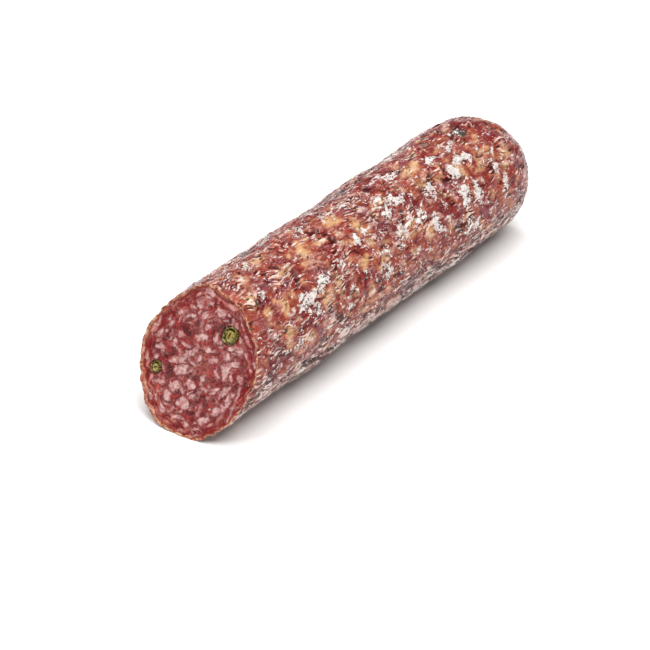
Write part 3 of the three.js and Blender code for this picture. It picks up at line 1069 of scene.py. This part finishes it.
class Shader:
    """A small helper for node materials whose textures are measured in mm of the object."""

    def __init__(self, name):
        self.material = bpy.data.materials.new(name)
        self.material.use_nodes = True
        self.tree = self.material.node_tree
        self.surface = self.tree.nodes["Principled BSDF"]
        self.coordinates = self.node("ShaderNodeTexCoord").outputs["Object"]

    def feed(self, socket, value):
        if isinstance(value, bpy.types.NodeSocket):
            self.tree.links.new(value, socket)
        elif value is not None:
            socket.default_value = value

    def node(self, kind, inputs=None, **settings):
        """A new node with the given settings and with values or links on its inputs."""
        made = self.tree.nodes.new(kind)
        for key, value in settings.items():
            setattr(made, key, value)
        for key, value in (inputs or {}).items():
            self.feed(made.inputs[key], value)
        return made

    def field(self, name):
        return self.node("ShaderNodeAttribute", attribute_name=name).outputs["Fac"]

    def vector(self, operation, *values):
        made = self.node("ShaderNodeVectorMath", dict(enumerate(values)), operation=operation)
        return made.outputs["Vector"]

    def moved(self, start, shift):
        """Coordinates moved by some mm across, along and up."""
        return self.vector("ADD", start, [value * MM for value in shift])

    def bend(self, size, reach):
        """Coordinates moved about by broad noise, so that stretched noise keeps changing direction."""
        scale = 1 / (size * MM)
        broad = self.node("ShaderNodeTexNoise", {"Vector": self.coordinates, "Scale": scale, "Detail": 1})
        centred = self.vector("SUBTRACT", broad.outputs["Color"], (0.5, 0.5, 0.5))
        widest = 2 * reach * MM
        moves = self.vector("MULTIPLY", centred, (widest, widest, widest))
        return self.vector("ADD", self.coordinates, moves)

    def noise(self, size, detail=3.0, rough=0.55, stretch=1.0, distort=0.0, shift=0.0, at=None):
        """Noise from 0 to 1 with features of the given size, longer along the log where stretched."""
        scale = 1 / (size * MM)
        mapping = self.node("ShaderNodeMapping", {
            "Vector": at or self.coordinates,
            "Scale": (scale, scale / stretch, scale),
            "Location": (shift, shift, shift),
        })
        texture = self.node("ShaderNodeTexNoise", {
            "Vector": mapping.outputs["Vector"],
            "Scale": 1,
            "Detail": detail,
            "Roughness": rough,
            "Distortion": distort,
        })
        return texture.outputs["Fac"]

    def math(self, operation, *values):
        return self.node("ShaderNodeMath", dict(enumerate(values)), operation=operation).outputs[0]

    def add(self, a, b):
        return self.math("ADD", a, b)

    def times(self, a, b):
        return self.math("MULTIPLY", a, b)

    def step(self, value, low, high):
        """Zero below low and one above high."""
        inputs = {"Value": value, "From Min": low, "From Max": high}
        return self.node("ShaderNodeMapRange", inputs, interpolation_type="SMOOTHSTEP").outputs["Result"]

    def blots(self, size, low, high, detail=3.0, rough=0.55, **more):
        """Blots with outlines of noise: zero where it is below low and one where it is above high."""
        return self.step(self.noise(size, detail, rough, **more), low, high)

    def roughen(self, value, amount, size, detail, rough=0.55, **more):
        """A value with noise added that lowers it as much as it raises it."""
        return self.add(value, self.times(self.add(self.noise(size, detail, rough, **more), -0.5), amount))

    def mix(self, share, first, second):
        """The first colour where the share is zero and the second where it is one."""
        colours = [paint(colour) if isinstance(colour, str) else colour for colour in (first, second)]
        a, b = [(*colour, 1) if isinstance(colour, tuple) else colour for colour in colours]
        made = self.node("ShaderNodeMix", {"Factor": share, "A": a, "B": b}, data_type="RGBA")
        return made.outputs["Result"]

    def layers(self, colour, *layers):
        """A colour with layers over it: each a tint, laid on by the product of the shares after it."""
        for tint, *shares in layers:
            colour = self.mix(functools.reduce(self.times, shares), colour, tint)
        return colour

    def bump(self, height, strength, distance, normal=None):
        inputs = {"Strength": strength, "Distance": distance * MM, "Height": height, "Normal": normal}
        return self.node("ShaderNodeBump", inputs).outputs["Normal"]

    def finish(self, colour, rough, normal=None, specular=0.5):
        """The material, once its surface has these values."""
        self.surface.inputs["Specular IOR Level"].default_value = specular
        for name, value in (("Base Color", colour), ("Roughness", rough), ("Normal", normal)):
            self.feed(self.surface.inputs[name], value)
        return self.material


def under_casing(s):
    """The mince that shows through the casing: lean in its tints, grains of fat and golden patches."""
    grain = s.mix(s.field("tone"), "dark lean", "lean")
    fat = s.mix(s.noise(2.4, 4), "tan fat", "cream fat")
    golden = s.mix(s.noise(2.2, 4, shift=33), "old gold", "gold")
    ragged = s.roughen(s.field("fat"), 2.3, 1.3, 5, 0.6)
    soft = s.roughen(s.field("patch"), 1.8, 1.6, 4, shift=37)
    return s.layers(
        grain,
        ("brick", s.blots(3.4, 0.38, 0.66, 4)),
        ("maroon", 0.75, s.blots(7.0, 0.46, 0.60, shift=3)),
        ("deep red", 0.5, s.blots(1.6, 0.50, 0.66, 4, shift=5)),
        ("pink", 0.4, s.blots(1.5, 0.54, 0.68, 5, 0.65, shift=9)),
        ("amber", 0.6, s.blots(6.5, 0.51, 0.62, shift=41)),
        ("lilac", 0.55, s.blots(6.0, 0.50, 0.62, shift=19)),
        ("veiled fat", 0.7, s.step(ragged, -0.9, 0.3)),
        (fat, 0.9, s.step(ragged, -0.3, 1.3)),
        (golden, 0.62, s.step(soft, -0.25, 0.9)),
    )


def bloom_sheen_and_pleat_light(s, colour, low_side):
    """Bloom of the low side, partly painted sheen, with painted highlights and shade of its pleats, and
    warmer skin near the cut.
    """
    pleat_strokes = s.noise(1.7, 3, 0.5, stretch=4.0, at=s.bend(9, 3))
    to_cut = s.field("to_cut")
    away = s.add(0.3, s.times(s.step(to_cut, 3.0, 24.0), 0.62))
    return s.layers(
        colour,
        ("bloom_and_sheen", 0.75, s.field("bloom_and_sheen")),
        # Painted highlights and painted shade along the pleats of the low side
        ("pleat highlight", 0.85, low_side, s.step(pleat_strokes, 0.55, 0.60)),
        ("pleat shade", away, low_side, s.step(pleat_strokes, 0.485, 0.44)),
        ("orange", 0.3, s.step(to_cut, 8.0, 0.5)),
    )


def painted_wrinkle_light(s, colour, strokes, bent, low_side):
    """Long wrinkles and, in some zones, finer ones: painted shade in their hollows and painted highlights on
    their crests.
    """
    # Painted light and shade: the slope to a copy of the noise moved up and across lights one side of each
    # wrinkle and shades the other
    higher = s.noise(**STROKE, at=s.moved(bent, (-0.2, 0, 0.2)))
    slope = s.math("SUBTRACT", strokes, higher)
    emboss_zone = s.step(s.add(s.noise(5.0, 4, shift=27), s.times(s.field("bloom_and_sheen"), 0.15)), 0.50, 0.62)
    hollow = s.math("MAXIMUM", s.step(strokes, 0.42, 0.32), s.times(emboss_zone, s.step(slope, -0.045, -0.10)))
    crest_highlight = s.math("MAXIMUM", s.step(strokes, 0.60, 0.68), s.times(emboss_zone, s.step(slope, 0.05, 0.11)))
    emboss_share = s.add(0.2, s.times(emboss_zone, 0.7))
    # Fine painted glints with painted shade beside them, in some zones
    fine = s.noise(0.65, 2, 0.5, stretch=2.0, shift=61, at=bent)
    glint_zone = s.times(s.blots(4.5, 0.53, 0.62, shift=53), s.add(0.45, s.times(low_side, 0.4)))
    return s.layers(
        colour,
        ("hollow", hollow, s.add(s.times(emboss_share, 0.8), 0.15)),
        ("painted glint", crest_highlight, emboss_share),
        ("fine wrinkle shade", glint_zone, s.step(fine, 0.42, 0.34)),
        ("painted glint", glint_zone, s.step(fine, 0.60, 0.68)),
    )


def dried_edge(s):
    """The casing's turned edge: tan where the lip field is high and rust where it is low."""
    tan = s.mix(s.blots(1.4, 0.36, 0.64, 5, 0.6), "edge brown", "edge tan")
    tan = s.layers(tan, ("edge red", 0.7, s.blots(2.2, 0.46, 0.58, 4, shift=13)))
    # The paler rust stands partly for a painted highlight along the edge
    rust = s.mix(s.blots(1.1, 0.40, 0.60, 5, 0.65, shift=5), "rust", "pale rust and highlight")
    return s.mix(s.step(s.field("lip"), 0.65, 0.95), rust, tan)


def mould_share(s, fold, gaps):
    """Where mould covers the skin: in crumbs, more on folds and less in the gaps between them."""
    crumbs = s.roughen(s.field("mould"), 3.1, 1.0, 6, 0.75, stretch=1.4)
    crumbs = s.add(crumbs, s.times(s.add(fold, -0.5), 1.2))
    return s.step(s.add(crumbs, s.times(gaps, -0.9)), 0.48, 0.60)


def casing_material():
    s = Shader("casing")
    low_side = s.step(s.field("bloom_and_sheen"), 0.0, 0.5)
    fold = s.roughen(s.field("fold"), 1.1, 0.8, 4, 0.65, stretch=1.5)
    # Painted shade in the crevices between the grains
    crevice_shade = s.step(s.add(s.field("border"), s.times(s.noise(0.8, 4), 0.3)), 0.30, 0.10)
    skin_with_painted_fold_light = s.layers(
        bloom_sheen_and_pleat_light(s, under_casing(s), low_side),
        ("crevice_shade", 0.4, crevice_shade),
        # Painted shade in the folds' creases and painted highlight along their ridges
        ("crease", 0.8, s.step(fold, 0.38, 0.08)),
        ("ridge", 0.5, s.step(fold, 0.66, 1.0)),
    )
    bent = s.bend(12, 4)
    strokes = s.noise(**STROKE, at=bent)
    on_lip = s.step(s.field("lip"), 0.2, 0.55)
    off_lip = s.math("SUBTRACT", 1.0, on_lip)
    gaps = s.blots(1.9, 0.54, 0.60, 2, 0.5, stretch=1.6, distort=0.8, shift=23)
    mould = s.times(mould_share(s, fold, gaps), off_lip)
    powder = s.mix(s.blots(0.9, 0.42, 0.60, 4, 0.65, shift=71), "mould grey", MOULD_WHITE)
    colour = s.layers(
        painted_wrinkle_light(s, skin_with_painted_fold_light, strokes, bent, low_side),
        ("veiled corn", s.step(s.field("corn"), 0.15, 0.5)),
        ("speck", s.step(s.field("speck"), 0.3, 0.7)),
        (dried_edge(s), on_lip),
        ("mould gap", 0.6, off_lip, gaps, s.step(s.field("mould"), 0.1, 0.5)),
        (powder, mould),
    )
    rough = s.add(s.times(mould, 0.6), s.add(0.10, s.times(s.noise(1.5), 0.14)))
    rough = s.add(rough, s.times(s.field("bloom_and_sheen"), 0.08))
    normal = s.bump(mould, 0.8, 0.15, s.bump(strokes, 1.0, 0.8))
    return s.finish(colour, rough, normal, specular=0.18)


def meat_material():
    s = Shader("meat")
    depth, layer = s.field("depth"), s.field("layer")
    salmon = s.mix(s.noise(1.5, 4), "dull salmon", "salmon")
    fat = s.mix(s.blots(1.6, 0.36, 0.62, 6, 0.65), "meat fat", "white fat")
    ragged = s.roughen(s.field("fat"), 2.8, 1.0, 6, 0.75)
    # Painted shade along the grooves between the grains of the cut face
    crevice_shade = s.step(s.add(s.field("border"), s.times(s.noise(0.6, 4), 0.3)), 0.34, 0.10)
    rim = s.step(s.add(depth, s.times(s.noise(3.0, 3, shift=21), 4.0)), 8.0, 4.5)
    web = s.math("ABSOLUTE", s.add(s.noise(3.0, 4, 0.6, distort=1.2), -0.5))
    colour = s.layers(
        s.mix(s.field("tone"), "dark meat", "meat"),
        (salmon, 0.7, s.step(s.field("salmon"), 0.35, 1.2)),
        ("meat pit", 0.9, s.blots(1.3, 0.45, 0.58, 6, 0.65)),
        ("meat pink", 0.5, s.blots(0.8, 0.52, 0.66, 6, 0.7, distort=1.5)),
        # Darker meat and, round the peppercorns, partly painted shade
        ("meat shade", 0.7, s.step(s.field("dark"), 0.2, 0.9)),
        ("meat ring", 0.85, s.step(depth, 3.8, 1.0), s.blots(2.0, 0.40, 0.56, 4)),
        ("veiled meat fat", 0.5, s.step(ragged, -0.8, 0.1)),
        (fat, 0.95, s.step(ragged, -0.2, 0.8)),
        # Painted shade in the grooves between grains
        ("meat seam", 0.5, crevice_shade),
        ("dark layer", 0.85, rim, s.step(layer, 0.0, -0.35)),
        ("pale layer", 0.5, rim, s.step(layer, 0.25, 0.5)),
        ("fibre", 0.7, s.step(web, 0.022, 0.0), s.blots(4.0, 0.45, 0.60, shift=7)),
        ("meat edge", s.step(depth, 0.75, 0.25)),
    )
    s.surface.inputs["Subsurface Weight"].default_value = 0.05
    s.surface.inputs["Subsurface Radius"].default_value = (1.0, 0.45, 0.35)
    s.surface.inputs["Subsurface Scale"].default_value = 0.6 * MM
    coarse = s.bump(s.noise(1.0, 4, 0.6), 0.9, 0.6)
    normal = s.bump(s.noise(0.45, 3, 0.6), 0.6, 0.15, coarse)
    return s.finish(colour, s.add(0.12, s.times(s.noise(1.0), 0.16)), normal, specular=0.28)


def corn_material():
    s = Shader("peppercorn")
    seed = s.mix(s.noise(0.8, 4), "dark seed", "seed")
    colour = s.layers(
        s.mix(s.blots(0.9, 0.36, 0.64, 4), "dark hull", "hull"),
        (seed, s.step(s.roughen(s.field("part"), 1.4, 0.6, 4), 0.1, 0.9)),
        ("corn brown", 0.8, s.blots(0.75, 0.50, 0.60, 5, 0.65, shift=17)),
        # Painted glints on the hull, and painted shade in the deep gap and slit
        ("corn glint highlight", 0.8, s.blots(0.6, 0.60, 0.68, 3, 0.6, shift=43)),
        ("corn gap shade", s.step(s.field("part"), -0.1, -0.9)),
    )
    return s.finish(colour, s.add(0.06, s.times(s.noise(0.6), 0.2)), s.bump(s.noise(0.55, 3), 0.9, 0.35))


def mould_material():
    s = Shader("mould")
    colour = s.mix(s.field("shade"), "mould cream", MOULD_WHITE)
    colour = s.layers(colour, ("mould shade", s.blots(0.5, 0.6, 0.8)))
    return s.finish(colour, s.add(0.75, s.times(s.noise(0.4), 0.2)), s.bump(s.noise(0.25, 3), 0.4, 0.05))


def make_camera():
    camera = bpy.data.cameras.new("camera")
    camera.lens = LENS
    camera.sensor_width = SENSOR
    camera.clip_start = 0.01
    camera.clip_end = 20
    holder = bpy.data.objects.new("camera", camera)
    bpy.context.scene.collection.objects.link(holder)
    turn = np.stack((RIGHT, UP, BACK), axis=1)
    spot = (CAMERA_PLACE + OFFSET) * MM
    holder.matrix_world = Matrix.Translation(spot) @ Matrix(turn.tolist()).to_4x4()
    bpy.context.scene.camera = holder


def make_light(name, azimuth, elevation, size, power, colour):
    """A soft square light that looks at the log from the given side."""
    light = bpy.data.lights.new(name, "AREA")
    light.shape = "SQUARE"
    light.size = size
    light.energy = power
    light.color = colour
    holder = bpy.data.objects.new(name, light)
    bpy.context.scene.collection.objects.link(holder)
    a, e = math.radians(azimuth), math.radians(elevation)
    away = Vector((math.sin(a) * math.cos(e), -math.cos(a) * math.cos(e), math.sin(e)))
    holder.location = away * LIGHT_DISTANCE
    holder.rotation_euler = away.to_track_quat("Z", "Y").to_euler()


def make_studio():
    """A plain pale floor, a white surround and soft lights."""
    floor_mesh = bpy.data.meshes.new("floor")
    corners = [(x * FLOOR_HALF, y * FLOOR_HALF, 0) for x, y in ((-1, -1), (1, -1), (1, 1), (-1, 1))]
    floor_mesh.from_pydata(corners, [], [(0, 1, 2, 3)])
    floor = bpy.data.objects.new("floor", floor_mesh)
    bpy.context.scene.collection.objects.link(floor)
    s = Shader("floor")
    colour = s.mix(s.noise(900, 1), (0.94, 0.94, 0.94), (0.96, 0.96, 0.96))
    floor_mesh.materials.append(s.finish(colour, 0.8, specular=0.0))
    world = bpy.data.worlds.new("surround")
    world.use_nodes = True
    world.node_tree.nodes["Background"].inputs["Color"].default_value = (1, 1, 1, 1)
    world.node_tree.nodes["Background"].inputs["Strength"].default_value = SURROUND_LIGHT
    bpy.context.scene.world = world
    for name, spec in LIGHTS.items():
        make_light(name, *spec)


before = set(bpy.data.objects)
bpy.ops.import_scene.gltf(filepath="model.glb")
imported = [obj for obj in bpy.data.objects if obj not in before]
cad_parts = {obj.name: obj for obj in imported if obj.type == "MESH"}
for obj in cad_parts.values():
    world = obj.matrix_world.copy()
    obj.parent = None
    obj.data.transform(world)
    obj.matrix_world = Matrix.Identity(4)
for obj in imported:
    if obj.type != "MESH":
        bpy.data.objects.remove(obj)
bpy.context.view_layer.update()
OFFSET = log_offset()

bpy.context.scene.view_settings.view_transform = "Standard"
make_camera()
make_studio()

skin, skin_angle, skin_masks = casing_outside()
casing = make_casing(casing_material(), skin, skin_angle, skin_masks)
make_meat(meat_material())
corn_look = corn_material()
for corn_name, (across, up, radius), slit_turn in zip(CORN_NAMES, FACE_CORNS, CORN_SLITS):
    make_corn(corn_name, across, up, radius, slit_turn, corn_look)
make_flakes(mould_material(), skin, skin_masks)
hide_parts("sausage")
